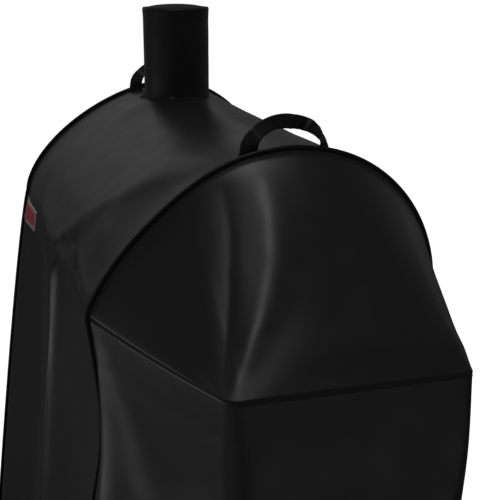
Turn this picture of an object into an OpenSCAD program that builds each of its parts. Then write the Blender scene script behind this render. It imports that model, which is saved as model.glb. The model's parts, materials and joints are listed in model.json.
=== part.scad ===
// Fitted cover for a barrel grill with a chimney and a right-hand side shelf.
// X runs along the barrel, Y from front to back, Z up. The hem stands on z = 0.

/* [Barrel] */
// Length of the barrel between its two arch seams
barrel_len = 970; // [700:10:1200]
// Depth of the cover at the foot of the arch, front to back
barrel_depth = 600; // [480:10:700]
// Rise of the arch above its foot
arch_rise = 252; // [200:4:300]
// How far the crest of the arch lies behind the middle
crest_back = 50; // [0:5:80]
// Roundness of the front of the arch, where 2 is an ellipse
front_power = 1.6; // [1.5:0.1:2]
// Height of the arch foot and of the shelf edge above the floor
base_height = 860; // [600:10:1000]

/* [Shelf bay] */
// How far the shelf bay reaches beyond the right arch
shelf_len = 370; // [250:10:450]
// Depth of the shelf bay at its outer edge
shelf_depth = 360; // [300:10:440]
// Radius of the bay's front corner at the shelf
front_corner_r = 24; // [12:2:40]
// Radius of the bay's back corner at the shelf
back_corner_r = 9; // [8:1:40]
// Radius of the front corner at the hem
front_hem_r = 130; // [40:5:150]
// Radius of the back corner at the hem
back_hem_r = 120; // [40:5:150]

/* [Hang of the panels] */
// How far the front hem stands forward at the left end
front_flare = 126; // [40:2:160]
// How far the front hem stands forward at the right corner
corner_flare = 46; // [20:2:80]
// How far the back hem stands out
back_flare = 46; // [20:2:80]
// How far the hem of the shelf bay stands out
skirt_flare = 16; // [0:2:40]
// Power by which the lean of the front grows with depth at the right corner
right_lean_power = 1.6; // [0.5:0.05:2]
// Power by which the lean of the front grows with depth at the left end
left_lean_power = 0.85; // [0.5:0.05:2]

/* [Cloth] */
// Thickness that stands for the coated cloth
panel_t = 3; // [2:0.5:4]
// Height of the turned hem
hem_h = 32; // [20:2:50]
// Thickness of the turned hem, bindings and patches
tape_t = 1.5; // [1:0.5:2]
// Width of the binding tape over a seam
tape_w = 14; // [10:1:20]

/* [Chimney sleeve] */
// Outer diameter of the sleeve
sleeve_d = 150; // [110:2:180]
// Wall of the sleeve
sleeve_t = 2; // [1.5:0.5:3]
// How far the sleeve reaches down inside the cover, below the crest
sleeve_inside = 30; // [24:2:60]
// Height of the tape round the sleeve's lower edge
sleeve_tape_h = 6; // [4:1:14]
// Height of the sleeve's top above the crest of the arch
sleeve_rise = 192; // [120:2:260]
// Distance of the sleeve's axis from the left arch seam
sleeve_from_left = 216; // [150:2:300]
// Distance of the sleeve's axis behind the middle
sleeve_back = 30; // [0:5:60]
// Height of the dome of the sleeve's closing disc
cap_dome = 8; // [2:1:12]

/* [Piping] */
// Outer diameter of the piping
piping_d = 7; // [6.5:0.5:10]
// Diameter of the filler cord in the piping
piping_cord_d = 4.5; // [3.5:0.5:5]

/* [Handles] */
// Distance between the outer edges of a handle's two feet
handle_span = 154; // [140:2:200]
// Height of the handle above its hinge line
handle_rise = 58; // [44:2:80]
// Width of the flat strap
strap_w = 21; // [18:1:26]
// Thickness of the strap
strap_t = 2; // [1.6:0.2:3]
// How much wider each foot gets on the barrel
foot_spread = 6; // [0:1:10]
// Distance from an arch seam to the inner edge of the patches under its handle
patch_reach = 50; // [40:2:80]
// Distance of each handle from its arch seam
handle_inset = 20; // [18:1:30]
// Distance of the handle's middle behind the middle of the barrel
handle_back = 35; // [20:1:60]

/* [Badge] */
// Width of the badge
badge_w = 170; // [120:5:260]
// Height of the badge
badge_h = 46; // [30:2:90]
// Distance of the badge's left edge from the left arch seam
badge_from_left = 20; // [16:2:80]
// Width of the badge's border
badge_rim = 4; // [3:1:10]
// Distance of the badge's top below the foot of the arch
badge_drop = 14; // [4:1:40]
// Thickness of each layer of the badge
badge_t = 0.8; // [0.5:0.1:1.5]

/* [Hidden] */

gap = 0.3;
// Room for the flat facets of neighbouring curved sheets.
loose = 1.2;
arch_half = barrel_depth / 2;
piping_r = piping_d / 2;
piping_out = piping_r + gap;

// The origin is the middle of the footprint, piping and flares included.
reach_left = max(panel_t, piping_r);
reach_right = shelf_len + skirt_flare;
right_x = (barrel_len + reach_left - reach_right) / 2;
left_x = right_x - barrel_len;
reach_front = arch_half + front_flare + piping_out + piping_r;
reach_back = arch_half + back_flare + piping_out + piping_r;
mid_y = (reach_front - reach_back) / 2;
crest_z = base_height + arch_rise;

sleeve_x = left_x + sleeve_from_left;
sleeve_y = mid_y + sleeve_back;
sleeve_bottom = crest_z - sleeve_inside;
sleeve_top = crest_z + sleeve_rise;

right_handle_x = right_x - handle_inset;
left_handle_x = left_x + handle_inset;
handle_y = mid_y + handle_back;
hinge_z = crest_z - 0.5;
hinge_over = 0.4;
hinge_under = 1.1;

// The gusset's inner body runs on past its open sides by this much.
gusset_reach = 2 * panel_t;
// The seam bindings stop above the hems.
binding_start = hem_h + 4;
// The handle patches begin beside the seam bindings.
patch_near = tape_w + 1;
// Bar of stitching on a foot: thickness, length and height.
tack_bar = [0.8, strap_w - 8, 1];
tack_drop = 3;

// Radius of each corner of the bay at depths below the shelf.
FRONT_CORNER = [
    [0, front_corner_r],
    [0.07 * base_height, lerp(front_corner_r, front_hem_r, 0.17)],
    [0.26 * base_height, lerp(front_corner_r, front_hem_r, 0.43)],
    [base_height, front_hem_r],
];
BACK_CORNER = [
    [0, back_corner_r],
    [0.14 * base_height, lerp(back_corner_r, back_hem_r, 0.03)],
    [0.28 * base_height, lerp(back_corner_r, back_hem_r, 0.24)],
    [0.47 * base_height, lerp(back_corner_r, back_hem_r, 0.46)],
    [base_height, back_hem_r],
];
CORNER_SWEEP = 72;
CORNER_STEP = 18;
DROP_STEPS = 8;
ARCH_STEP = 7.5;
STATIONS = 6;

function lerp(a, b, t) = a + (b - a) * t;

// Outward lean of the front at a depth below the arch foot; along is 0 at the right seam, 1 at the left.
function front_lean(along, depth) =
    lerp(corner_flare, front_flare, along)
        * pow(depth / base_height, lerp(right_lean_power, left_lean_power, along));
function back_lean(depth) = back_flare * depth / base_height;

// Arch points [y, z]; inset shrinks the arch by the cloth's thickness.
function front_arch(angle, inset) = [
    mid_y + crest_back - (arch_half + crest_back - inset) * pow(cos(angle), 2 / front_power),
    base_height + (arch_rise - inset) * pow(sin(angle), 2 / front_power),
];
function back_arch(angle, inset) = [
    mid_y + crest_back + (arch_half - crest_back - inset) * cos(angle),
    base_height + (arch_rise - inset) * sin(angle),
];

// Cross-section of the barrel part from one depth below the arch foot over the crest to the other.
function front_drop(along, inset, deep, shallow) = [
    for (i = [0:DROP_STEPS])
        let (depth = lerp(deep, shallow, i / DROP_STEPS))
            [mid_y - arch_half + inset - front_lean(along, depth), base_height - depth]
];
function back_drop(inset, shallow, deep) = [
    for (i = [0:DROP_STEPS])
        let (depth = lerp(shallow, deep, i / DROP_STEPS))
            [mid_y + arch_half - inset + back_lean(depth), base_height - depth]
];
function arch(inset) = concat(
    [for (a = [ARCH_STEP:ARCH_STEP:90]) front_arch(a, inset)],
    [for (a = [90 - ARCH_STEP:-ARCH_STEP:ARCH_STEP]) back_arch(a, inset)]
);
function section(along, inset, floor_gap = 0) = concat(
    front_drop(along, inset, base_height - floor_gap, 0),
    arch(inset),
    back_drop(inset, 0, base_height - floor_gap)
);

// Point of a corner of the shelf bay in plan; side is -1 at the front and 1 at the back.
function bay_corner(side, depth, inset, angle) =
    let (
        out = skirt_flare * depth / base_height,
        r = lookup(depth, side < 0 ? FRONT_CORNER : BACK_CORNER)
    )
        [
            right_x + shelf_len + out - r + (r - inset) * cos(angle),
            mid_y + side * (shelf_depth / 2 + out - r) + (r - inset) * sin(angle),
        ];

// Plan outline of the shelf bay at a depth below its edge, from the front seam round to the back seam.
function bay_outline(depth, inset) = concat(
    [[right_x, mid_y - arch_half + inset - front_lean(0, depth)]],
    [for (a = [-CORNER_SWEEP:CORNER_STEP:0]) bay_corner(-1, depth, inset, a)],
    [for (a = [0:CORNER_STEP:CORNER_SWEEP]) bay_corner(1, depth, inset, a)],
    [[right_x, mid_y + arch_half - inset + back_lean(depth)]]
);

// Closed sheet between two equal grids of points, outer and inner.
module sheet(outer, inner) {
    rows = len(outer);
    cols = len(outer[0]);
    last_r = rows - 1;
    last_c = cols - 1;
    count = rows * cols;
    grid = concat([for (row = outer) each row], [for (row = inner) each row]);
    function at(layer, r, c) = layer * count + r * cols + c;
    function quad(a, b, c, d) = [[a, b, c], [a, c, d]];
    polyhedron(grid, concat(
        [for (r = [0:rows - 2], c = [0:cols - 2])
            each quad(at(0, r, c), at(0, r + 1, c), at(0, r + 1, c + 1), at(0, r, c + 1))],
        [for (r = [0:rows - 2], c = [0:cols - 2])
            each quad(at(1, r, c), at(1, r, c + 1), at(1, r + 1, c + 1), at(1, r + 1, c))],
        [for (r = [0:rows - 2])
            each quad(at(0, r, 0), at(1, r, 0), at(1, r + 1, 0), at(0, r + 1, 0))],
        [for (r = [0:rows - 2])
            each quad(at(0, r, last_c), at(0, r + 1, last_c), at(1, r + 1, last_c), at(1, r, last_c))],
        [for (c = [0:cols - 2])
            each quad(at(0, 0, c), at(0, 0, c + 1), at(1, 0, c + 1), at(1, 0, c))],
        [for (c = [0:cols - 2])
            each quad(at(0, last_r, c), at(1, last_r, c), at(1, last_r, c + 1), at(0, last_r, c + 1))]
    ));
}

// Rows of a barrel section at several places along the barrel.
function barrel_row(x, points) = [for (p = points) [x, p[0], p[1]]];
function station_x(i) = lerp(right_x, left_x, i / STATIONS);
function along_at(x) = (right_x - x) / barrel_len;
function barrel_grid(inset) = [
    for (i = [0:STATIONS]) barrel_row(station_x(i), section(i / STATIONS, inset))
];
function front_grid(inset, deep, shallow) = [
    for (i = [0:STATIONS])
        barrel_row(station_x(i), front_drop(i / STATIONS, inset, deep, shallow))
];
function back_grid(inset, shallow, deep) = [
    for (i = [0:STATIONS]) barrel_row(station_x(i), back_drop(inset, shallow, deep))
];
function bay_grid(inset, deep, shallow, levels) = [
    for (i = [0:levels])
        let (depth = lerp(deep, shallow, i / levels))
            [for (p = bay_outline(depth, inset)) [p[0], p[1], base_height - depth]]
];

module main_panel() {
    color([0.09, 0.09, 0.1])
        difference() {
            sheet(barrel_grid(0), barrel_grid(panel_t));
            translate([sleeve_x, sleeve_y, sleeve_bottom])
                cylinder(d = sleeve_d + 2 * gap, h = 2 * sleeve_inside, $fn = 64);
        }
}

module left_end_panel() {
    color([0.07, 0.07, 0.08])
        translate([left_x - panel_t, 0, 0])
            rotate([90, 0, 90])
                linear_extrude(panel_t)
                    polygon(section(1, 0));
}

// Taut hull from the right arch to the shelf edge; reach runs it on past its open sides.
module gusset_body(inset, reach) {
    rim = 1;
    outline = bay_outline(0, inset);
    front_y = outline[0][1];
    back_y = outline[len(outline) - 1][1];
    hull() {
        translate([right_x - reach, 0, 0])
            rotate([90, 0, 90])
                linear_extrude(reach + rim)
                    polygon(concat(
                        [[back_y, base_height - reach], [front_y, base_height - reach]],
                        [[front_y, base_height]],
                        arch(inset),
                        [[back_y, base_height]]
                    ));
        translate([0, 0, base_height - reach])
            linear_extrude(reach + rim)
                polygon(concat([[right_x - reach, back_y], [right_x - reach, front_y]], outline));
    }
}

module right_gusset_panel() {
    color([0.08, 0.08, 0.09])
        difference() {
            gusset_body(0, 0);
            gusset_body(panel_t, gusset_reach);
        }
}

module right_skirt_panel() {
    color([0.08, 0.08, 0.09])
        sheet(bay_grid(0, base_height, 0, DROP_STEPS), bay_grid(panel_t, base_height, 0, DROP_STEPS));
}

module chimney_sleeve() {
    color([0.1, 0.1, 0.11])
        translate([sleeve_x, sleeve_y, sleeve_bottom])
            difference() {
                cylinder(d = sleeve_d, h = sleeve_top - sleeve_bottom, $fn = 96);
                translate([0, 0, -1])
                    cylinder(d = sleeve_d - 2 * sleeve_t, h = sleeve_top - sleeve_bottom + 2, $fn = 96);
            }
}

module chimney_cap() {
    cap_r = sleeve_d / 2;
    rings = 8;
    // The top follows a parabola, which is a shallow dome at this height.
    crown = [
        for (i = [rings:-1:0])
            let (r = cap_r * i / rings)
                [r, sleeve_t + cap_dome * (1 - pow(r / cap_r, 2))]
    ];
    color([0.13, 0.13, 0.14])
        translate([sleeve_x, sleeve_y, sleeve_top])
            rotate_extrude($fn = 96)
                polygon(concat([[0, 0], [cap_r, 0]], crown));
}

module sleeve_binding() {
    color([0.05, 0.05, 0.05])
        translate([sleeve_x, sleeve_y, sleeve_bottom])
            difference() {
                cylinder(d = sleeve_d + 2 * gap + 2 * tape_t, h = sleeve_tape_h, $fn = 64);
                translate([0, 0, -1])
                    cylinder(d = sleeve_d + 2 * gap, h = sleeve_tape_h + 2, $fn = 64);
            }
}

// Unit outward normal of a path [y, z] at point i, for a path that runs from front to back.
function outward(path, i) =
    let (
        before = path[max(i - 1, 0)],
        after = path[min(i + 1, len(path) - 1)],
        step = after - before
    )
        [-step[1], step[0]] / norm(step);

// Points of a circle about the path, in planes across it; sides is the number of corners.
function ring(x, path, i, r, sides) =
    let (out = outward(path, i), centre = path[i] + out * piping_out)
        [
            for (k = [0:sides - 1])
                let (a = 360 * k / sides, p = centre + out * r * cos(a))
                    [x + r * sin(a), p[0], p[1]]
        ];

// Solid or hollow cord that follows a section on its outside.
module piping_rod(x, path, r, sides) {
    n = len(path);
    polyhedron(
        [for (i = [0:n - 1]) each ring(x, path, i, r, sides)],
        concat(
            [[for (k = [0:sides - 1]) k]],
            [for (i = [0:n - 2], k = [0:sides - 1])
                let (next = (k + 1) % sides)
                    each [
                        [i * sides + k, (i + 1) * sides + k, (i + 1) * sides + next],
                        [i * sides + k, (i + 1) * sides + next, i * sides + next],
                    ]],
            [[for (k = [sides - 1:-1:0]) (n - 1) * sides + k]]
        )
    );
}

module piping_tube(x, path) {
    n = len(path);
    sides = 10;
    radii = [piping_r, piping_cord_d / 2 + gap];
    count = n * sides;
    function at(layer, i, k) = layer * count + i * sides + k % sides;
    polyhedron(
        [for (r = radii, i = [0:n - 1]) each ring(x, path, i, r, sides)],
        concat(
            [for (i = [0:n - 2], k = [0:sides - 1])
                each [
                    [at(0, i, k), at(0, i + 1, k), at(0, i + 1, k + 1)],
                    [at(0, i, k), at(0, i + 1, k + 1), at(0, i, k + 1)],
                    [at(1, i, k), at(1, i + 1, k + 1), at(1, i + 1, k)],
                    [at(1, i, k), at(1, i, k + 1), at(1, i + 1, k + 1)],
                ]],
            [for (k = [0:sides - 1])
                each [
                    [at(0, 0, k), at(0, 0, k + 1), at(1, 0, k + 1)],
                    [at(0, 0, k), at(1, 0, k + 1), at(1, 0, k)],
                    [at(0, n - 1, k), at(1, n - 1, k + 1), at(0, n - 1, k + 1)],
                    [at(0, n - 1, k), at(1, n - 1, k), at(1, n - 1, k + 1)],
                ]]
        )
    );
}

module piping_cover(x, along) {
    color([0.02, 0.02, 0.02])
        piping_tube(x, section(along, 0, 2));
}

module piping_cord(x, along) {
    color([0.75, 0.74, 0.7])
        piping_rod(x, section(along, 0, 2), piping_cord_d / 2, 8);
}

// Tape over the raw edges of a barrel seam, just inside the panel.
module seam_binding(from_x, to_x) {
    near = panel_t + 2 * gap;
    far = near + tape_t;
    color([0.05, 0.05, 0.05])
        sheet(
            [for (x = [from_x, to_x]) barrel_row(x, section(along_at(x), near, binding_start))],
            [for (x = [from_x, to_x]) barrel_row(x, section(along_at(x), far, binding_start))]
        );
}

module shelf_seam_binding() {
    near = panel_t + loose;
    color([0.05, 0.05, 0.05])
        sheet(bay_grid(near, tape_w, 0, 1), bay_grid(near + tape_t, tape_w, 0, 1));
}

module front_hem() {
    near = panel_t + gap;
    color([0.06, 0.06, 0.07])
        sheet(
            front_grid(near, base_height, base_height - hem_h),
            front_grid(near + tape_t, base_height, base_height - hem_h)
        );
}

module back_hem() {
    near = panel_t + gap;
    color([0.06, 0.06, 0.07])
        sheet(
            back_grid(near, base_height - hem_h, base_height),
            back_grid(near + tape_t, base_height - hem_h, base_height)
        );
}

module left_hem() {
    near = panel_t + tape_t + 2 * gap;
    bottom = section(1, near);
    front = bottom[0];
    back = bottom[len(bottom) - 1];
    lean = front_lean(1, base_height) - front_lean(1, base_height - hem_h);
    color([0.06, 0.06, 0.07])
        translate([left_x + gap, 0, 0])
            rotate([90, 0, 90])
                linear_extrude(tape_t)
                    polygon([
                        [front[0], 0],
                        [back[0], 0],
                        [back[0] - back_flare * hem_h / base_height, hem_h],
                        [front[0] + lean, hem_h],
                    ]);
}

module right_hem() {
    near = panel_t + 1.5 * loose;
    color([0.06, 0.06, 0.07])
        sheet(
            bay_grid(near, base_height, base_height - hem_h, 1),
            bay_grid(near + tape_t, base_height, base_height - hem_h, 1)
        );
}

// Half-arc of flat strap, standing in the Y-Z plane with its hinge line at its foot.
module strap_loop(x) {
    outer_y = handle_span / 2;
    inner_y = outer_y - strap_w;
    translate([x - strap_t / 2, handle_y, hinge_z])
        rotate([90, 0, 90])
            linear_extrude(strap_t)
                difference() {
                    intersection() {
                        scale([outer_y / handle_rise, 1])
                            circle(r = handle_rise, $fn = 72);
                        translate([-outer_y, hinge_over])
                            square([2 * outer_y, handle_rise]);
                    }
                    scale([inner_y / (handle_rise - strap_w), 1])
                        circle(r = handle_rise - strap_w, $fn = 72);
                }
}

// Height of the outer surface of the barrel at a place y.
function front_height(y) =
    let (share = (mid_y + crest_back - y) / (arch_half + crest_back))
        base_height + arch_rise * pow(1 - pow(share, front_power), 1 / front_power);
function back_height(y) =
    let (share = (y - mid_y - crest_back) / (arch_half - crest_back))
        base_height + arch_rise * sqrt(1 - pow(share, 2));
function arch_height(y) = y < mid_y + crest_back ? front_height(y) : back_height(y);

// Two upright tabs between the barrel and the loop.
module strap_feet(x) {
    for (side = [-1, 1]) {
        outer = handle_y + side * (handle_span / 2 + foot_spread);
        inner = handle_y + side * (handle_span / 2 - strap_w);
        translate([x - strap_t / 2, 0, 0])
            rotate([90, 0, 90])
                linear_extrude(strap_t)
                    polygon([
                        [outer, arch_height(outer) + 2 * gap],
                        [inner, arch_height(inner) + 2 * gap],
                        [inner, hinge_z - hinge_under],
                        [handle_y + side * handle_span / 2, hinge_z - hinge_under],
                    ]);
    }
}

// One bar of stitching across each foot of a strap.
module strap_tacks(x) {
    foot = (handle_span - strap_w) / 2;
    color([0.2, 0.2, 0.2])
        for (side = [-1, 1])
            translate([x + strap_t / 2, handle_y + side * foot - tack_bar[1] / 2, hinge_z - tack_drop])
                cube(tack_bar);
}

// Two patches under the feet of a strap, inside the panel.
module strap_patches(from_x, to_x) {
    near = panel_t + loose;
    far = near + tape_t;
    front_angles = [60, 66, 72, 78];
    back_angles = [81, 74, 67, 60];
    color([0.05, 0.05, 0.05]) {
        sheet(
            [for (x = [from_x, to_x]) barrel_row(x, [for (a = front_angles) front_arch(a, near)])],
            [for (x = [from_x, to_x]) barrel_row(x, [for (a = front_angles) front_arch(a, far)])]
        );
        sheet(
            [for (x = [from_x, to_x]) barrel_row(x, [for (a = back_angles) back_arch(a, near)])],
            [for (x = [from_x, to_x]) barrel_row(x, [for (a = back_angles) back_arch(a, far)])]
        );
    }
}

module handle(x) {
    color([0.03, 0.03, 0.03])
        strap_loop(x);
}

module handle_feet(x) {
    color([0.03, 0.03, 0.03])
        strap_feet(x);
}

// The front panel's outer surface at the badge, rim in from the badge's edge and out from the cloth.
function badge_grid(rim, out) = [
    for (i = [0:4])
        let (
            x = left_x + badge_from_left + lerp(badge_w - rim, rim, i / 4),
            along = along_at(x)
        )
            [for (j = [0:3])
                let (depth = badge_drop + lerp(badge_h - rim, rim, j / 3))
                    [x, mid_y - arch_half - out - front_lean(along, depth), base_height - depth]]
];

module badge_border() {
    color([0.92, 0.92, 0.92])
        sheet(badge_grid(0, badge_t + gap), badge_grid(0, gap));
}

module badge_field() {
    color([0.75, 0.1, 0.13])
        sheet(badge_grid(badge_rim, 2 * badge_t + 2 * gap), badge_grid(badge_rim, badge_t + 2 * gap));
}

main_panel();
left_end_panel();
right_gusset_panel();
right_skirt_panel();
chimney_sleeve();
chimney_cap();
sleeve_binding();
piping_cover(right_x, 0);  // right_piping_cover
piping_cord(right_x, 0);  // right_piping_cord
piping_cover(left_x, 1);  // left_piping_cover
piping_cord(left_x, 1);  // left_piping_cord
seam_binding(right_x, right_x - tape_w);  // right_seam_binding
seam_binding(left_x + tape_w, left_x);  // left_seam_binding
shelf_seam_binding();
front_hem();
back_hem();
left_hem();
right_hem();
handle(right_handle_x);  // right_handle
handle(left_handle_x);  // left_handle
handle_feet(right_handle_x);  // right_handle_feet
handle_feet(left_handle_x);  // left_handle_feet
strap_patches(right_x - patch_near, right_x - patch_reach);  // right_handle_patch
strap_patches(left_x + patch_reach, left_x + patch_near);  // left_handle_patch
strap_tacks(right_handle_x);  // right_handle_tacks
strap_tacks(left_handle_x);  // left_handle_tacks
badge_field();
badge_border();
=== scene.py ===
"""Looks of a fitted barrel grill cover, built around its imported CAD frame. Metres, Z up, hem on z = 0."""

import json
import math

import bmesh
import bpy
import numpy as np
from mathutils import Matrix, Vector


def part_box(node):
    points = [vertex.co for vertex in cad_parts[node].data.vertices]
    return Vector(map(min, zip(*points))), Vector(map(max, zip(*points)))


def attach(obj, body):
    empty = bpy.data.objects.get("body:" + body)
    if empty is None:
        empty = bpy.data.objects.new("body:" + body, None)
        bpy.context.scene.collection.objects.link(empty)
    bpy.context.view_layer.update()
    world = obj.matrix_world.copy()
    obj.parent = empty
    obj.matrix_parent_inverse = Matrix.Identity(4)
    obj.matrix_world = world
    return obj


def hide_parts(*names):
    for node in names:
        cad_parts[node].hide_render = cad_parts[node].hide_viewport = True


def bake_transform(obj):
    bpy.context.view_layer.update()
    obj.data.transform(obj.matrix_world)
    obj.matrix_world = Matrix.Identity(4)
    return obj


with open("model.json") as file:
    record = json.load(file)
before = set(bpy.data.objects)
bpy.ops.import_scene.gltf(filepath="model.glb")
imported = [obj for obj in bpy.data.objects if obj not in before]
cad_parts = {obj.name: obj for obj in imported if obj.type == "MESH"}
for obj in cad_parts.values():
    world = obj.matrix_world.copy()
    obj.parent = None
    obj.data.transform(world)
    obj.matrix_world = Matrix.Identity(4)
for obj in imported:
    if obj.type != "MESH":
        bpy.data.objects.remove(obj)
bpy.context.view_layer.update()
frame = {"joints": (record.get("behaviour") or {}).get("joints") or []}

# ---------- sizes from the frame
MAIN_LOW, MAIN_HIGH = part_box("main_panel")
GUSSET_LOW, GUSSET_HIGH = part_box("right_gusset_panel")
SKIRT_LOW, SKIRT_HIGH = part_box("right_skirt_panel")
SLEEVE_LOW, SLEEVE_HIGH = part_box("chimney_sleeve")
CAP_LOW, CAP_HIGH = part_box("chimney_cap")
BADGE_LOW, BADGE_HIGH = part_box("badge_border")

LEFT_X, RIGHT_X = MAIN_LOW.x, MAIN_HIGH.x
LENGTH = RIGHT_X - LEFT_X
FOOT_Z = GUSSET_LOW.z
RISE = GUSSET_HIGH.z - FOOT_Z
MID_Y = (GUSSET_LOW.y + GUSSET_HIGH.y) / 2
HALF = (GUSSET_HIGH.y - GUSSET_LOW.y) / 2
FRONT_FLARE = MID_Y - HALF - MAIN_LOW.y
BACK_FLARE = MAIN_HIGH.y - MID_Y - HALF
CORNER_FLARE = MID_Y - HALF - SKIRT_LOW.y
SHELF_X = GUSSET_HIGH.x
SKIRT_FLARE = SKIRT_HIGH.x - SHELF_X
SLEEVE_X, SLEEVE_Y = (SLEEVE_LOW.x + SLEEVE_HIGH.x) / 2, (SLEEVE_LOW.y + SLEEVE_HIGH.y) / 2
SLEEVE_R = (SLEEVE_HIGH.x - SLEEVE_LOW.x) / 2
SLEEVE_TOP = SLEEVE_HIGH.z

# ---------- sizes of the cloth and trim
CREST_BACK = 0.05  # the crest lies this far behind the middle
FRONT_ROUNDNESS = 1.6  # power of the front of the arch
CORNER_ROUNDNESS = 1.6  # how the lean of the front grows with depth at the right corner
LEFT_ROUNDNESS = 0.85  # and at the left end
SHELF_HALF = 0.18  # half the length of the shelf's outer edge
CORNER_SWEEP = math.radians(72)  # turn of the shelf's edge at each corner
SEAM_REACH = 0.15  # how far along the barrel a pull at the right seam is felt
CLOTH, TAPE_T = 0.0012, 0.0009  # thickness of the cloth and of the seam tapes
HEM, TAPE = 0.032, 0.014  # width of the turned hem and of the tapes
HEM_PLY, TAPE_PLY = CLOTH + 0.0005, CLOTH + 0.0006  # how far inside the cloth's face they lie
PIPING_R = 0.0034
PIPING_OUT = 0.0038  # the middle of the piping stands this far out from the seam
FILLER_R = 0.0022
CELL = 0.008  # size of the cloth's mesh
FINE_CELL = 0.0025  # and of the main panel's mesh between these two x, across the long fold
FOLD_FROM, FOLD_TO = -0.12, -0.02
FLOOR_GAP = 0.002  # from the ends of the piping to the floor


def smooth(low, high, value):
    """0 below low, 1 above high, and an S curve between."""
    t = np.clip((value - low) / (high - low), 0, 1)
    return t * t * (3 - 2 * t)


def bell(offset, width, power=2.0):
    """1 at no offset, falling to 1/e at the width; a power of 1 gives a sharp top."""
    return np.exp(-np.abs(offset / width) ** power)


def eased(at, stations):
    """Reads the columns of stations, whose first column is the position, on a smooth curve through them."""
    rows = np.array(stations, float)
    last = len(rows) - 1
    place = np.interp(at, rows[:, 0], np.arange(last + 1))
    low = np.clip(np.floor(place).astype(int), 0, last - 1)
    t = (place - low)[..., None]
    before, here = rows[np.maximum(low - 1, 0), 1:], rows[low, 1:]
    then, after = rows[low + 1, 1:], rows[np.minimum(low + 2, last), 1:]
    value = here + 0.5 * t * (
        then - before
        + t * (2 * before - 5 * here + 4 * then - after + t * (3 * (here - then) + after - before))
    )
    return np.moveaxis(value, -1, 0)


def fold(across, along, stations, power):
    """Height of a fold whose stations are (along, centre, height, width before, width after)."""
    centre, height, before, after = eased(along, stations)
    offset = across - centre
    return height * bell(offset, np.where(offset < 0, before, after), power)


def ripples(a, b, seed, size, count=7):
    """Soft irregular waves of about that size, between -1 and 1."""
    rng = np.random.default_rng(seed)
    total = 0
    for turn, phase, stretch in zip(rng.uniform(0, math.tau, count), rng.uniform(0, math.tau, count),
                                    rng.uniform(0.6, 1.7, count)):
        total = total + np.sin((a * math.cos(turn) + b * math.sin(turn)) * math.tau / size * stretch + phase)
    return total / count


def paired(a, b):
    """Both as arrays of one shape."""
    return np.broadcast_arrays(np.asarray(a, float), np.asarray(b, float))


def outward(surface, a, b, step=0.001):
    """Unit normals of a surface on the side of its first direction crossed with its second."""
    first = surface(a + step, b) - surface(a - step, b)
    second = surface(a, b + step) - surface(a, b - step)
    normal = np.cross(first, second)
    return normal / np.maximum(np.linalg.norm(normal, axis=-1, keepdims=True), 1e-12)


def lifted(surface, distance):
    """The same surface, that far outside."""
    return lambda a, b: surface(a, b) + outward(surface, a, b) * distance


# ---------- the arch
def arch_curve(count=240):
    """Distance along the arch from its front foot, with y and z there."""
    angle = np.linspace(0, math.pi / 2, count)
    power = 2 / FRONT_ROUNDNESS
    crest_y = MID_Y + CREST_BACK
    front_y = crest_y - (HALF + CREST_BACK) * np.cos(angle).clip(0) ** power
    front_z = FOOT_Z + RISE * np.sin(angle) ** power
    back_y = crest_y + (HALF - CREST_BACK) * np.cos(angle[-2::-1])
    back_z = FOOT_Z + RISE * np.sin(angle[-2::-1])
    y, z = np.concatenate([front_y, back_y]), np.concatenate([front_z, back_z])
    s = np.concatenate([[0], np.cumsum(np.hypot(np.diff(y), np.diff(z)))])
    return s, y, z


ARCH_S, ARCH_Y, ARCH_Z = arch_curve()
ARCH = ARCH_S[-1]
CREST_S = float(np.interp(MID_Y + CREST_BACK, ARCH_Y, ARCH_S))

# How far the right corner seam is pulled in at each depth below the arch foot.
CORNER_TUCK = [(0, 0), (0.03, 0.004), (0.073, 0.01), (0.144, 0.0186), (0.198, 0.0204), (0.243, 0.018),
               (0.322, 0.0076), (0.42, 0), (0.56, -0.001), (FOOT_Z, 0)]
# How far the right arch is pulled in, towards its middle, at each distance along it from its front foot.
ARCH_TUCK = [(0, 0), (0.04, 0.006), (0.1, 0.008), (0.18, 0.005), (0.235, 0), (0.3, -0.006),
             (0.36, -0.008), (0.42, -0.004), (0.48, 0), (0.6, 0), (ARCH, 0)]


def corner_tuck(depth):
    return eased(depth, CORNER_TUCK)[0]


def front_lean(along, depth):
    """How far the front stands out at a depth; along is 0 at the right seam and 1 at the left."""
    power = CORNER_ROUNDNESS + (LEFT_ROUNDNESS - CORNER_ROUNDNESS) * along
    return (CORNER_FLARE + (FRONT_FLARE - CORNER_FLARE) * along) * (np.maximum(depth, 0) / FOOT_Z) ** power


def section(x, s):
    """The barrel's base shape: s is below 0 on the front, 0 to ARCH over the top, and beyond on the back."""
    x, s = paired(x, s)
    front, back = np.maximum(-s, 0), np.maximum(s - ARCH, 0)
    over = s.clip(0, ARCH)
    along = ((RIGHT_X - x) / LENGTH).clip(0, 1)
    near_right = bell(RIGHT_X - x, SEAM_REACH)
    tuck = corner_tuck(front) * near_right
    arch_y, arch_z = np.interp(over, ARCH_S, ARCH_Y), np.interp(over, ARCH_S, ARCH_Z)
    from_middle, above_foot = arch_y - MID_Y - CREST_BACK, arch_z - FOOT_Z
    pull = eased(over, ARCH_TUCK)[0] * near_right / np.hypot(from_middle, above_foot)
    y = arch_y - pull * from_middle - front_lean(along, front) + tuck + BACK_FLARE * back / FOOT_Z
    return np.stack([x, y, arch_z - pull * above_foot - front - back], -1)


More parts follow.
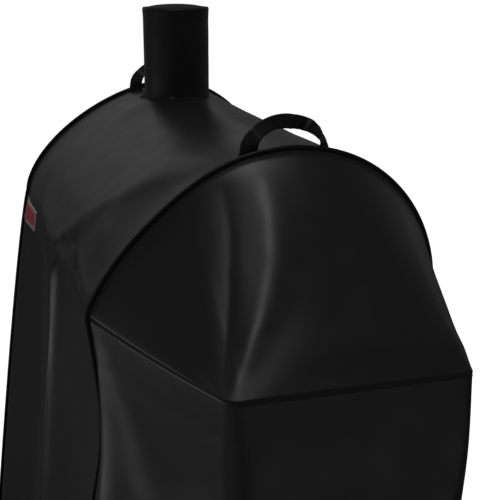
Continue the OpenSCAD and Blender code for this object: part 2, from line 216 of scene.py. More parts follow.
# ---------- main panel
# The long fold from the hem up to the foot of the arch, as (s, x, then height and width before and after of
# its sharp crest, then the same of the broad rise under it).
LONG_FOLD = [
    (-0.86, -0.064, 0.013, 0.014, 0.014, 0.022, 0.05, 0.09),
    (-0.56, -0.064, 0.013, 0.014, 0.014, 0.021, 0.05, 0.09),
    (-0.39, -0.068, 0.012, 0.014, 0.014, 0.019, 0.045, 0.09),
    (-0.237, -0.057, 0.01, 0.014, 0.012, 0.018, 0.04, 0.085),
    (-0.145, -0.051, 0.009, 0.014, 0.012, 0.016, 0.036, 0.08),
    (-0.072, -0.047, 0.011, 0.014, 0.012, 0.013, 0.034, 0.07),
    (-0.018, -0.048, 0.013, 0.014, 0.013, 0.009, 0.034, 0.06),
    (0.008, -0.058, 0.01, 0.016, 0.016, 0.006, 0.034, 0.05),
    (0.03, -0.08, 0, 0.02, 0.02, 0, 0.03, 0.05),
]
# Folds that hang down the front, each a power and its stations (s, x, height, width before, width after).
FRONT_FOLDS = [
    (1, [row[:5] for row in LONG_FOLD]),
    (1.5, [row[:2] + row[5:] for row in LONG_FOLD]),
    # Broad fold that carries the badge.
    (1.5, [(-0.86, -0.6, 0.01, 0.09, 0.12), (-0.3, -0.61, 0.012, 0.07, 0.1),
           (-0.06, -0.6, 0.01, 0.06, 0.09), (0.03, -0.58, 0, 0.06, 0.08)]),
    # Hollow between the badge and the long fold.
    (1.5, [(-0.86, -0.34, -0.012, 0.1, 0.1), (-0.3, -0.34, -0.01, 0.09, 0.09),
           (-0.1, -0.36, -0.004, 0.08, 0.06), (0, -0.38, 0, 0.08, 0.06)]),
]
# Folds that run along the foot of the arch, with stations (x, s, height, width below, width above).
FOOT_FOLDS = [
    # Shoulder from the badge over the top of the long fold.
    (1.5, [(-0.46, 0.03, 0, 0.02, 0.05), (-0.334, 0.014, 0.009, 0.018, 0.045),
           (-0.22, 0.006, 0.012, 0.018, 0.045), (-0.138, 0.012, 0.012, 0.02, 0.04),
           (-0.08, 0.035, 0.01, 0.022, 0.035), (-0.042, 0.059, 0.006, 0.02, 0.03), (0, 0.08, 0, 0.02, 0.03)]),
    # Hollow under that shoulder.
    (1.5, [(-0.4, 0, 0, 0.012, 0.012), (-0.297, -0.012, -0.008, 0.02, 0.014),
           (-0.2, -0.035, -0.01, 0.026, 0.02), (-0.12, -0.07, -0.006, 0.024, 0.02),
           (-0.06, -0.09, 0, 0.02, 0.02)]),
    # Dimple, and the broad crease from it to the top of the arch.
    (1.6, [(-0.03, 0.052, 0, 0.014, 0.012), (0.008, 0.055, -0.008, 0.02, 0.01),
           (0.06, 0.066, 0, 0.014, 0.012)]),
    (1.7, [(-0.05, 0.06, 0, 0.04, 0.14), (0.01, 0.085, 0.01, 0.04, 0.17), (0.05, 0.115, 0.012, 0.045, 0.18),
           (0.12, 0.185, 0.011, 0.055, 0.16), (0.2, 0.27, 0.006, 0.07, 0.12), (0.28, 0.35, 0, 0.08, 0.12)]),
    # Sharp crease from the dimple down to the right corner, and the swell above it.
    (1.1, [(0.05, 0.043, 0, 0.01, 0.006), (0.087, 0.031, -0.012, 0.016, 0.005),
           (0.179, 0.016, -0.018, 0.016, 0.005), (0.262, 0.006, -0.017, 0.016, 0.005),
           (0.292, 0, -0.01, 0.012, 0.006)]),
    (1.5, [(0.06, 0.065, 0, 0.016, 0.02), (0.1, 0.042, 0.006, 0.009, 0.022),
           (0.18, 0.026, 0.009, 0.008, 0.02), (0.26, 0.014, 0.008, 0.007, 0.02),
           (0.292, 0.008, 0, 0.01, 0.02)]),
]
# Soft folds down the back, as (x at the foot of the arch, height, width).
BACK_FOLDS = [(-0.56, 0.01, 0.055), (-0.36, 0.015, 0.075), (-0.13, 0.012, 0.05), (0.07, 0.016, 0.065),
              (0.22, 0.008, 0.035)]
TOP_SAG = 0.005  # sag of the top between the two arches
BACK_SAG = 0.006  # and of the back
FRONT_LIFT = 0.012  # the front of the arch stands this much higher away from the seams
SEAM_ROLL, SEAM_DIP = 0.0026, 0.0022  # the cloth rolls over the piped seams and dips beside them
SLEEVE_LIFT = 0.012  # the front side of the opening is pulled up level with the crest


def main_height(x, s):
    """How far the cloth of the main panel stands out from its base shape."""
    back = np.maximum(s - ARCH, 0)
    from_right, from_left = RIGHT_X - x, x - LEFT_X
    nearest = np.minimum(from_right, from_left)
    pinned = smooth(0, 0.06, nearest)
    top = smooth(-0.06, 0.08, s) * smooth(-0.06, 0.1, ARCH - s)
    middle = 1 - ((from_right - from_left) / LENGTH) ** 2
    height = -TOP_SAG * middle * top
    height += SEAM_ROLL * bell(nearest, 0.006) - SEAM_DIP * bell(nearest - 0.015, 0.005) * top
    height += FRONT_LIFT * smooth(0.01, 0.17, nearest) * smooth(0.02, 0.12, s) * smooth(-0.42, -0.2, -s)
    for power, stations in FRONT_FOLDS:
        height += fold(x, s, stations, power) * pinned
    for power, stations in FOOT_FOLDS:
        height += fold(s, x, stations, power) * smooth(0, 0.03, nearest)
    hang = smooth(0, 0.5, back)
    for centre, amount, width in BACK_FOLDS:
        height += amount * bell(x - centre - 0.05 * back, width, 1.6) * hang * pinned
    height -= BACK_SAG * hang * pinned
    height += (0.0012 + 0.002 * hang) * ripples(x, s * 0.35, 3, 0.21) * pinned
    height += 0.0001 * ripples(x, s, 8, 0.055) * pinned
    # The opening is sewn to the sleeve, so the cloth turns up round it and gathers a little.
    y = np.interp(s.clip(0, ARCH), ARCH_S, ARCH_Y)
    around = np.maximum(np.hypot(x - SLEEVE_X, y - SLEEVE_Y) - SLEEVE_R, 0)
    turn = np.arctan2(y - SLEEVE_Y, x - SLEEVE_X)
    collar = bell(around, 0.016, 1.3) * smooth(0.1, 0.2, s)
    height += collar * (0.003 + 0.0007 * np.sin(23 * turn) + 0.0005 * np.sin(37 * turn + 1))
    in_front = smooth(-0.5, 1, -np.sin(turn)) * smooth(0.05, 0.2, s)
    height += SLEEVE_LIFT * bell(around, 0.085, 1.6) * in_front
    return height


def main(x, s):
    """The main panel's cloth, which stands out level on the front and the back."""
    x, s = paired(x, s)
    out = outward(section, x, s)
    out[..., 2] *= smooth(-0.06, 0.04, s) * smooth(-0.06, 0.04, ARCH - s)
    return section(x, s) + out * main_height(x, s)[..., None]


# ---------- shelf bay
# Radius of the bay's front and back corner at each depth below the shelf.
FRONT_CORNER = [(0, 0.024), (0.06, 0.042), (0.22, 0.07), (FOOT_Z, 0.13)]
BACK_CORNER = [(0, 0.009), (0.12, 0.012), (0.24, 0.036), (0.4, 0.06), (FOOT_Z, 0.12)]


def corner_arc(side, depth, angle):
    """A point on the rounded corner of the bay; side is -1 at the front and 1 at the back."""
    out = SKIRT_FLARE * depth / FOOT_Z
    radius = eased(depth, FRONT_CORNER if side < 0 else BACK_CORNER)[0]
    return (SHELF_X + out - radius + radius * np.cos(angle),
            MID_Y + side * (SHELF_HALF + out - radius) + radius * np.sin(angle))


def side_run(side):
    """Length of the shelf's edge between the arch and a corner's arc."""
    end_x, end_y = corner_arc(side, 0, side * CORNER_SWEEP)
    return math.hypot(end_x - RIGHT_X, MID_Y + side * HALF - end_y)


FRONT_ARC, BACK_ARC = FRONT_CORNER[0][1] * CORNER_SWEEP, BACK_CORNER[0][1] * CORNER_SWEEP
END_RUN = 2 * SHELF_HALF - FRONT_CORNER[0][1] - BACK_CORNER[0][1]
W_FRONT = side_run(-1)
W_BACK = W_FRONT + FRONT_ARC + END_RUN + BACK_ARC
W_END = W_BACK + side_run(1)
SEAM_SAG = 0.004  # the shelf seam sags this much between the arch and each corner
EDGE_ROLL = 0.0032  # the skirt and the gusset roll over beside the piping


def bay(w, s):
    """The shelf bay's base shape: w runs along its edge from the front seam round to the back seam."""
    w, s = paired(w, s)
    depth = -s
    turn_front = CORNER_SWEEP * ((w - W_FRONT) / FRONT_ARC - 1)
    turn_back = CORNER_SWEEP * ((w - W_BACK) / BACK_ARC + 1)
    front_x, front_y = corner_arc(-1, depth, turn_front.clip(-CORNER_SWEEP, 0))
    back_x, back_y = corner_arc(1, depth, turn_back.clip(0, CORNER_SWEEP))
    end = ((w - W_FRONT - FRONT_ARC) / END_RUN).clip(0, 1)
    x, y = front_x + (back_x - front_x) * end, front_y + (back_y - front_y) * end
    seam_front = MID_Y - HALF - front_lean(0, depth) + corner_tuck(depth)
    seam_back = MID_Y + HALF + BACK_FLARE * np.maximum(depth, 0) / FOOT_Z
    to_front, to_back = (1 - w / W_FRONT).clip(0, 1), ((w - W_BACK) / (W_END - W_BACK)).clip(0, 1)
    x = x + (RIGHT_X - x) * (to_front + to_back)
    y = y + (seam_front - y) * to_front + (seam_back - y) * to_back
    sag = SEAM_SAG * (np.sin(math.pi * to_front) + np.sin(math.pi * to_back)) * smooth(-0.3, 0, s)
    return np.stack([x, y, FOOT_Z + s - sag], -1)


# Folds of the skirt, with stations (s, w, height, width before, width after).
SKIRT_FOLDS = [
    # Fan that opens downward from the near corner.
    [(-0.86, 0.15, 0.044, 0.12, 0.15), (-0.45, 0.095, 0.037, 0.08, 0.115),
     (-0.35, 0.077, 0.032, 0.065, 0.098), (-0.25, 0.052, 0.025, 0.045, 0.075),
     (-0.14, 0.026, 0.015, 0.026, 0.05), (-0.06, 0.014, 0.006, 0.014, 0.028), (0, 0.01, 0, 0.01, 0.02)],
    # Hollow before the front corner.
    [(-0.86, W_FRONT - 0.02, -0.006, 0.1, 0.06), (-0.3, W_FRONT - 0.04, -0.006, 0.08, 0.05),
     (0, W_FRONT - 0.04, 0, 0.05, 0.04)],
    # Soft folds before and behind the back corner.
    [(-0.86, W_BACK - 0.1, 0.006, 0.07, 0.09), (-0.3, W_BACK - 0.12, 0.003, 0.05, 0.06),
     (0, W_BACK - 0.12, 0, 0.05, 0.05)],
    [(-0.86, W_BACK + 0.16, 0.012, 0.08, 0.1), (-0.3, W_BACK + 0.18, 0.007, 0.06, 0.07),
     (0, W_BACK + 0.2, 0, 0.05, 0.05)],
]


def skirt_height(w, s):
    """How far the cloth of the skirt stands out from the bay's base shape."""
    ends = np.minimum(w, W_END - w)
    pinned = smooth(0, 0.05, ends)
    hang = smooth(0, 0.3, -s)
    height = EDGE_ROLL * bell(ends, 0.006)
    for stations in SKIRT_FOLDS:
        height += fold(w, s, stations, 1.8) * smooth(0, 0.02, ends)
    height += 0.0003 * bell(s, 0.004)
    height += 0.0012 * ripples(w, s * 0.4, 5, 0.23) * pinned * hang
    height += 0.0001 * ripples(w, s, 9, 0.05) * pinned
    return height


def skirt(w, s):
    """The skirt's cloth, which stands out level."""
    w, s = paired(w, s)
    out = outward(bay, w, s)
    out[..., 2] = 0
    return bay(w, s) + out * skirt_height(w, s)[..., None]


# Where each line of the gusset, counted along the arch, meets the edge of the shelf.
GUSSET_FAN = [(0, W_FRONT), (0.3, W_FRONT + FRONT_ARC), (0.44, W_FRONT + FRONT_ARC + 0.06),
              (0.6, W_BACK - BACK_ARC - 0.07), (0.74, W_BACK - BACK_ARC), (1, W_BACK)]


def tent(t, v):
    """The gusset's base shape: straight lines from the arch, t = 0, to the edge of the shelf, t = 1."""
    t, v = paired(t, v)
    top = section(np.full(v.shape, RIGHT_X), v.clip(0, 1) * ARCH)
    edge = bay(eased(v, GUSSET_FAN)[0], np.zeros(v.shape))
    sag = SEAM_SAG * np.sin(math.pi * t.clip(0, 1)) * (bell(v, 0.05) + bell(1 - v, 0.05))
    base = top + (edge - top) * t[..., None]
    base[..., 2] -= sag
    return base


# Folds of the gusset, each a power and its stations (x, y, height, width before, width after).
GUSSET_FOLDS = [
    # Long ridge from the top of the arch to the front corner.
    (1.8, [(RIGHT_X, 0.018, 0, 0.03, 0.04), (0.34, 0.015, 0.004, 0.026, 0.042),
           (0.404, 0.006, 0.0062, 0.026, 0.042), (0.468, -0.012, 0.0062, 0.024, 0.04),
           (0.527, -0.042, 0.005, 0.022, 0.034), (0.58, -0.078, 0.004, 0.016, 0.026),
           (SHELF_X, -0.13, 0, 0.01, 0.015)]),
    # Drop on its front side, which rises slowly again towards the front seam.
    (1.15, [(RIGHT_X, -0.052, 0, 0.14, 0.034), (0.32, -0.048, -0.005, 0.15, 0.032),
            (0.38, -0.054, -0.0065, 0.14, 0.032), (0.43, -0.066, -0.007, 0.13, 0.028),
            (0.463, -0.078, -0.0075, 0.12, 0.026), (0.51, -0.092, -0.008, 0.12, 0.022),
            (0.556, -0.108, -0.0075, 0.11, 0.018), (0.6, -0.124, -0.0055, 0.08, 0.014),
            (SHELF_X, -0.14, 0, 0.01, 0.01)]),
]
GUSSET_RUN = 0.4  # about the length of its lines, from the arch to the shelf


def gusset_height(t, v, place):
    """How far the cloth of the gusset stands out from its base shape, where place is the point there."""
    x, y = place[..., 0], place[..., 1]
    inside = smooth(0, 0.12, t) * smooth(0, 0.06, 1 - t) * smooth(0, 0.1, v) * smooth(0, 0.1, 1 - v)
    slack = np.sin(math.pi * t.clip(0, 1)) * smooth(0, 0.2, v) * smooth(0, 0.2, 1 - v)
    height = EDGE_ROLL * bell(t * GUSSET_RUN, 0.006) - 0.005 * slack
    for power, stations in GUSSET_FOLDS:
        height += fold(y, x, stations, power) * inside
    # Swell beside the shelf's outer edge.
    outer = smooth(0, 0.14, 1 - t) * smooth(0.38, 0.5, v) * smooth(0, 0.1, 1 - v)
    height += 0.0015 * bell(t - 0.86, 0.09) * outer
    height += 0.0012 * ripples(x, y, 12, 0.17) * inside
    return height


def gusset(t, v):
    """The gusset's cloth."""
    place = tent(t, v)
    height = gusset_height(np.asarray(t, float), np.asarray(v, float), place)
    return place + outward(tent, t, v) * height[..., None]


# ---------- left end panel
# Soft folds of the end, as (share of its width from the back, height, width).
END_FOLDS = [(0.3, 0.007, 0.055), (0.52, 0.006, 0.05), (0.76, 0.008, 0.06)]


def end_panel(v, h):
    """Flat end below and inside the left arch: v runs from back to front, h from the hem up to the crest."""
    v, h = paired(v, h)
    depth = np.maximum(FOOT_Z - h, 0)
    s_front = np.interp(h, ARCH_Z[ARCH_S <= CREST_S], ARCH_S[ARCH_S <= CREST_S])
    behind = ARCH_S >= CREST_S
    s_back = np.interp(-h, -ARCH_Z[behind], ARCH_S[behind])
    front = section(np.full(h.shape, LEFT_X), np.where(h < FOOT_Z, h - FOOT_Z, s_front))
    back = section(np.full(h.shape, LEFT_X), np.where(h < FOOT_Z, ARCH + FOOT_Z - h, s_back))
    y = back[..., 1] + (front[..., 1] - back[..., 1]) * v
    width = back[..., 1] - front[..., 1]
    edge = np.minimum(v, 1 - v) * width
    pinned = smooth(0, 0.05, edge)
    hang = smooth(0.05, 0.6, depth)
    out = 0.0012 - 0.004 * pinned * smooth(0, 0.1, depth + 0.2)
    for centre, amount, spread in END_FOLDS:
        out = out + amount * hang * pinned * bell((v - centre) * 0.7 - 0.03 * depth, spread, 1.7)
    out = out + 0.0014 * ripples(v * 0.6, h * 0.4, 21, 0.2) * pinned
    return np.stack([LEFT_X - out, y, h], -1)


# ---------- chimney sleeve
SLEEVE_SEAM = 2.5  # the sleeve's own seam faces away, at this angle from the x axis


def sleeve(angle, z):
    """The sleeve's cloth, a little slack between its two ends, with a lapped seam."""
    angle, z = paired(angle, z)
    height = (SLEEVE_TOP - z).clip(0)
    body = smooth(0, 0.03, height) * smooth(0, 0.04, z - FOOT_Z - RISE + 0.02)
    round_x, round_y = SLEEVE_R * np.cos(angle), SLEEVE_R * np.sin(angle)
    waves = ripples(round_x + 0.3 * z, round_y, 31, 0.12) + 0.6 * ripples(round_x, round_y + z, 33, 0.07)
    radius = SLEEVE_R - body * (0.001 + 0.0006 * waves)
    radius = radius + 0.0011 * bell(np.sin((angle - SLEEVE_SEAM) / 2) * 2 * SLEEVE_R, 0.005, 4)
    return np.stack([SLEEVE_X + radius * np.cos(angle), SLEEVE_Y + radius * np.sin(angle), z], -1)


def cap(r, angle):
    """The disc that closes the sleeve: a low dome with a rolled rim."""
    r, angle = paired(r, angle)
    share = (r / SLEEVE_R).clip(0, 1.2)
    dome = (CAP_HIGH.z - CAP_LOW.z - 0.0012) * (1 - share**2.4)
    roll = 0.0016 * bell(r - SLEEVE_R + 0.0015, 0.0016)
    uneven = 0.0004 * ripples(r * np.cos(angle), r * np.sin(angle), 41, 0.06) * (1 - share)
    z = CAP_LOW.z + dome + roll + uneven
    z = z - 0.004 * smooth(SLEEVE_R - 0.0016, SLEEVE_R + 0.0006, r)
    return np.stack([SLEEVE_X + r * np.cos(angle), SLEEVE_Y + r * np.sin(angle), z], -1)


# ---------- materials
def material(name, colour, roughness, specular, sheen=0.0):
    """A node material with its constants on the shader's own sockets."""
    made = bpy.data.materials.new(name)
    made.use_nodes = True
    shader = made.node_tree.nodes["Principled BSDF"]
    shader.inputs["Base Color"].default_value = (*colour, 1)
    shader.inputs["Roughness"].default_value = roughness
    shader.inputs["Specular IOR Level"].default_value = specular
    shader.inputs["Sheen Weight"].default_value = sheen
    shader.inputs["Sheen Roughness"].default_value = 0.5
    return made


def node(made, kind, **values):
    """A new node; values are its properties, or its inputs where the name has a capital."""
    new = made.node_tree.nodes.new(kind)
    for key, value in values.items():
        if key[0].isupper():
            new.inputs[key.replace("_", " ")].default_value = value
        else:
            setattr(new, key, value)
    return new


def link(made, source, output, target, socket):
    made.node_tree.links.new(source.outputs[output], target.inputs[socket])


def noise(made, scale, detail=4.0, roughness=0.55):
    """Noise in the object's own metres; scale is the number of blotches in a metre."""
    place = node(made, "ShaderNodeTexCoord")
    new = node(made, "ShaderNodeTexNoise", Scale=scale, Detail=detail, Roughness=roughness)
    link(made, place, "Object", new, "Vector")
    return new


def ramp(made, source, low, high):
    """Turns a value into a colour between two, which it reaches at 0.3 and 0.7."""
    new = node(made, "ShaderNodeValToRGB")
    first, last = new.color_ramp.elements
    first.position, last.position = 0.3, 0.7
    first.color, last.color = (*low, 1), (*high, 1)
    link(made, source, "Fac", new, "Fac")
    return new


def grey(value):
    return (value, value, value)


def vary(made, low, high, rough_low, rough_high, scale):
    """Blotches of colour and of roughness."""
    shader = made.node_tree.nodes["Principled BSDF"]
    tint = ramp(made, noise(made, scale), low, high)
    link(made, tint, "Color", shader, "Base Color")
    rough = ramp(made, noise(made, scale * 1.7, 6), grey(rough_low), grey(rough_high))
    link(made, rough, "Color", shader, "Roughness")


def weave(made, pitch, depth, creases=0.0, crease_scale=0.0):
    """Bump of crossed threads over the cut of the cloth, and faint creases."""
    shader = made.node_tree.nodes["Principled BSDF"]
    cut = node(made, "ShaderNodeUVMap", uv_map="cut")
    cross = node(made, "ShaderNodeMath", operation="MULTIPLY")
    for socket, direction in enumerate("XY"):
        wave = node(made, "ShaderNodeTexWave", bands_direction=direction, Scale=math.tau / 20 / pitch,
                    Distortion=0.4, Detail_Scale=1.5)
        link(made, cut, "UV", wave, "Vector")
        link(made, wave, "Fac", cross, socket)
    threads = node(made, "ShaderNodeBump", Strength=0.35, Distance=depth)
    link(made, cross, "Value", threads, "Height")
    last = threads
    if creases:
        last = node(made, "ShaderNodeBump", Strength=0.5, Distance=creases)
        link(made, noise(made, crease_scale, 5, 0.6), "Fac", last, "Height")
        link(made, threads, "Normal", last, "Normal")
    link(made, last, "Normal", shader, "Normal")


def blotchy(name, colour, shine, tints, roughs, scale, threads=None):
    """A material with blotches of colour and of roughness, and a weave where it has one."""
    made = material(name, colour, *shine)
    vary(made, *tints, *roughs, scale)
    if threads:
        weave(made, *threads)
    return made


def cloth_material(name, colour, roughness):
    bluish = (colour * 1.15, colour * 1.15, colour * 1.25)
    return blotchy(name, grey(colour), (roughness, 0.5, 0.05), (grey(colour * 0.8), bluish),
                   (roughness - 0.04, roughness + 0.05), 9, (0.0009, 0.00012, 0.0002, 18))


def thread_material(name, colour):
    tints = [tuple(c * share for c in colour) for share in (0.7, 1.2)]
    return blotchy(name, colour, (0.55, 0.5, 0.2), tints, (0.45, 0.65), 700)


def badge_material(name, colour):
    tints = (tuple(c * 0.88 for c in colour), colour)
    return blotchy(name, colour, (0.55, 0.4, 0.1), tints, (0.5, 0.62), 120, (0.0007, 0.00012))


CAP_BLACK = cloth_material("cap_cloth", 0.006, 0.72)
CLOTH_BLACK = cloth_material("coated_cloth", 0.0072, 0.35)
SLEEVE_BLACK = cloth_material("sleeve_cloth", 0.0055, 0.42)
WEBBING = blotchy("strap_webbing", grey(0.004), (0.5, 0.5, 0.1), (grey(0.003), grey(0.006)),
                  (0.42, 0.58), 60, (0.0022, 0.0005))
BINDING = blotchy("binding_tape", grey(0.006), (0.6, 0.4, 0.1), (grey(0.004), grey(0.008)),
                  (0.55, 0.7), 40, (0.0013, 0.0002))
PIPING = blotchy("piping_skin", grey(0.0035), (0.42, 0.35), (grey(0.0025), grey(0.0045)),
                 (0.36, 0.5), 80, (0.0008, 0.0001))
FILLER = blotchy("filler_yarn", (0.62, 0.6, 0.54), (0.85, 0.3, 0.2),
                 ((0.5, 0.48, 0.42), (0.68, 0.66, 0.6)), (0.8, 0.9), 300)
THREAD = thread_material("black_thread", grey(0.01))
PALE_THREAD = thread_material("pale_thread", (0.75, 0.74, 0.72))
BADGE_RED = badge_material("badge_red", (0.58, 0.035, 0.05))
BADGE_WHITE = badge_material("badge_white", (0.86, 0.85, 0.84))


# ---------- meshes
def finish_piece(made, skin, slot, *nodes, body="cover"):
    """Smooth shading, material and body of a new piece, which stands for those CAD nodes and hides them; the
    slot is not used.
    """
    mesh = made.data
    mesh.materials.append(skin)
    mesh.polygons.foreach_set("use_smooth", [True] * len(mesh.polygons))
    if body:
        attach(made, body)
    if nodes:
        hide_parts(*nodes)
    return made


def new_object(name, points, faces):
    mesh = bpy.data.meshes.new(name)
    mesh.from_pydata(points.tolist(), [], faces)
    mesh.validate()
    made = bpy.data.objects.new(name, mesh)
    bpy.context.scene.collection.objects.link(made)
    return made


def edit_mesh(made, change):
    """Gives a piece's mesh to a function that changes it."""
    edit = bmesh.new()
    edit.from_mesh(made.data)
    change(edit)
    edit.to_mesh(made.data)
    edit.free()


def grid_faces(rows, cols, closed=False):
    i, j = np.meshgrid(np.arange(rows - 1), np.arange(cols if closed else cols - 1), indexing="ij")
    nxt = (j + 1) % cols
    quads = np.stack([i * cols + j, (i + 1) * cols + j, (i + 1) * cols + nxt, i * cols + nxt], -1)
    return quads.reshape(-1, 4).tolist()


def run_lengths(points):
    """Distance travelled along a line of points, or the mean of it along the first axis of a grid."""
    lengths = np.linalg.norm(np.diff(points, axis=0), axis=-1)
    return np.concatenate([[0], np.cumsum(lengths.reshape(len(lengths), -1).mean(1))])


def lay_cut(made, first, second):
    """Writes the flat cut of a grid of points as a UV map, from the distances along its two axes."""
    cut = np.stack(np.meshgrid(first, second, indexing="ij"), -1).reshape(-1, 2)
    layer = made.data.uv_layers.new(name="cut")
    corners = np.zeros(len(made.data.loops), int)
    made.data.loops.foreach_get("vertex_index", corners)
    layer.data.foreach_set("uv", cut[corners].ravel())


def solidify(made, thickness, offset=-1):
    """Gives a sheet its thickness, inwards unless the offset says otherwise."""
    solid = made.modifiers.new("thickness", "SOLIDIFY")
    solid.thickness, solid.offset = thickness, offset


def patch(name, surface, a, b, thickness=CLOTH, weld=0.0):
    """A sheet over the grid a by b of a surface, with its thickness inwards."""
    grid = surface(*np.meshgrid(a, b, indexing="ij"))
    made = new_object(name, grid.reshape(-1, 3), grid_faces(len(a), len(b)))
    lay_cut(made, run_lengths(grid), run_lengths(grid.swapaxes(0, 1)))
    if weld:
        edit_mesh(made, lambda edit: bmesh.ops.remove_doubles(edit, verts=edit.verts, dist=weld))
    solidify(made, thickness)
    return made


def steps(low, high, size):
    """Even steps of about that size from low to high."""
    return np.linspace(low, high, max(2, round(abs(high - low) / size) + 1))


def close_ends(edit):
    """Fills the open ends of a tube."""
    bmesh.ops.holes_fill(edit, edges=[e for e in edit.edges if e.is_boundary])


def tube(name, line, radius, sides, wobble=0.0, wall=0.0):
    """A tube along points that lie in one plane of constant x; it is hollow where it has a wall."""
    way = np.gradient(line, axis=0)
    way /= np.linalg.norm(way, axis=1, keepdims=True)
    side = np.array([1.0, 0, 0])
    up = np.cross(side, way)
    turn = np.linspace(0, math.tau, sides, endpoint=False)
    run = run_lengths(line)
    size = radius * (1 + wobble * ripples(run, run * 0, 51, 0.05))
    ring = side * np.cos(turn)[:, None, None] + up * np.sin(turn)[:, None, None]
    points = (line + ring * size[:, None]).swapaxes(0, 1)
    made = new_object(name, points.reshape(-1, 3), [f[::-1] for f in grid_faces(len(line), sides, True)])
    lay_cut(made, run, turn * radius)
    if wall:
        solidify(made, wall)
    else:
        edit_mesh(made, close_ends)
    return made


THREAD_SIDES = 5


def stitch(start, line, out, run, length, radius):
    """Points of one stitch that starts at that distance along a line: a tip, two rings and a tip."""
    at = start + length * np.array([0, 0.22, 0.78, 1])
    spot = np.stack([np.interp(at, run, line[:, k]) for k in range(3)], -1)
    away = np.stack([np.interp(at, run, out[:, k]) for k in range(3)], -1)
    way = spot[-1] - spot[0]
    way /= np.linalg.norm(way)
    side = np.cross(away[1], way)
    points = [spot[0] - away[0] * radius * 0.5]
    for k in (1, 2):
        for turn in range(THREAD_SIDES):
            angle = math.tau * turn / THREAD_SIDES
            points.append(spot[k] + radius * (side * math.cos(angle) + away[k] * (0.35 + math.sin(angle))))
    points.append(spot[3] - away[3] * radius * 0.5)
    return points


def stitch_faces(first):
    """Faces of the stitch whose first point has that index."""
    near, far = first + 1, first + 1 + THREAD_SIDES
    last = far + THREAD_SIDES
    faces = []
    for turn in range(THREAD_SIDES):
        nxt = (turn + 1) % THREAD_SIDES
        faces.append([first, near + nxt, near + turn])
        faces.append([near + turn, near + nxt, far + nxt, far + turn])
        faces.append([last, far + turn, far + nxt])
    return faces


def stitches(name, rows, skin, pitch=0.0055, length=0.004, radius=0.0006, nodes=()):
    """Rows of thread stitches along lines of points; each row is (points, outward normals)."""
    points, faces = [], []
    for line, out in rows:
        run = run_lengths(line)
        count = int(run[-1] / pitch)
        for start in (run[-1] - count * pitch) / 2 + np.arange(count) * pitch:
            faces += stitch_faces(len(points))
            points += stitch(start, line, out, run, length, radius)
    made = new_object(name, np.array(points), faces)
    edit_mesh(made, lambda edit: bmesh.ops.recalc_face_normals(edit, faces=edit.faces))
    finish_piece(made, skin, "thread", *nodes)


def row_on(surface, a, b):
    """Points of a line on a surface with the normals there."""
    a, b = paired(a, b)
    return surface(a, b), outward(surface, a, b)


# ---------- panels
def open_for_sleeve(edit):
    """Cuts the sleeve's opening and draws the cut's edge onto its circle."""
    centre = Vector((SLEEVE_X, SLEEVE_Y))
    inside = [v for v in edit.verts if v.co.z > FOOT_Z and (v.co.xy - centre).length < SLEEVE_R - 0.001]
    bmesh.ops.delete(edit, geom=inside, context="VERTS")
    for v in edit.verts:
        away = v.co.xy - centre
        if v.is_boundary and v.co.z > FOOT_Z + RISE / 2 and away.length < SLEEVE_R + 2 * CELL:
            v.co.xy = centre + away.normalized() * (SLEEVE_R + 0.0003)


def build_main():
    """Its mesh is finer across the long fold."""
    across = np.concatenate([
        steps(LEFT_X, FOLD_FROM, CELL),
        steps(FOLD_FROM + FINE_CELL, FOLD_TO - FINE_CELL, FINE_CELL),
        steps(FOLD_TO, RIGHT_X, CELL),
    ])
    made = patch("main_panel_cloth", main, across, steps(-FOOT_Z, ARCH + FOOT_Z, CELL))
    edit_mesh(made, open_for_sleeve)
    return finish_piece(made, CLOTH_BLACK, "cloth", "main_panel")


def build_gusset():
    """Its mesh is finer towards the arch and the shelf."""
    even = np.linspace(0, 1, 60)
    t = smooth(0, 1, even) * 0.5 + even * 0.5
    made = patch("right_gusset_cloth", gusset, t, np.linspace(0, 1, 130), weld=0.0002)
    return finish_piece(made, CLOTH_BLACK, "cloth", "right_gusset_panel")


def build_skirt():
    made = patch("right_skirt_cloth", skirt, steps(0, W_END, CELL), steps(-FOOT_Z, 0, CELL))
    return finish_piece(made, CLOTH_BLACK, "cloth", "right_skirt_panel")


def build_end_panel():
    """Its mesh is finer towards the crest, where the panel narrows to a point."""
    under_arch = FOOT_Z + RISE * np.sin(np.linspace(0, math.pi / 2, 34)) ** 1.25
    levels = np.concatenate([steps(0, FOOT_Z, CELL)[:-1], under_arch])
    made = patch("left_end_cloth", end_panel, np.linspace(0, 1, 76), levels, weld=0.0002)
    return finish_piece(made, CLOTH_BLACK, "cloth", "left_end_panel")


def build_sleeve():
    turn = SLEEVE_SEAM + np.linspace(0, math.tau, 129)
    z = steps(SLEEVE_LOW.z + 0.002, SLEEVE_TOP, CELL / 2)
    made = patch("sleeve_cloth", sleeve, turn, z, weld=0.0001)
    return finish_piece(made, SLEEVE_BLACK, "cloth", "chimney_sleeve")


def build_cap():
    """Its mesh is finer at the rim."""
    rim = np.linspace(SLEEVE_R * 0.92, SLEEVE_R + 0.0006, 14)
    r = np.concatenate([np.linspace(0, SLEEVE_R * 0.9, 22), rim])
    made = patch("sleeve_cap_cloth", cap, r, np.linspace(0, math.tau, 129), weld=0.0001)
    return finish_piece(made, CAP_BLACK, "cloth", "chimney_cap")


def build_sleeve_binding():
    z = SLEEVE_LOW.z + np.linspace(0, 0.006, 3)
    turn = np.linspace(0, math.tau, 97)
    made = patch("sleeve_binding_tape", lifted(sleeve, 0.0012), turn, z, 0.001, weld=0.0001)
    finish_piece(made, BINDING, "tape", "sleeve_binding")


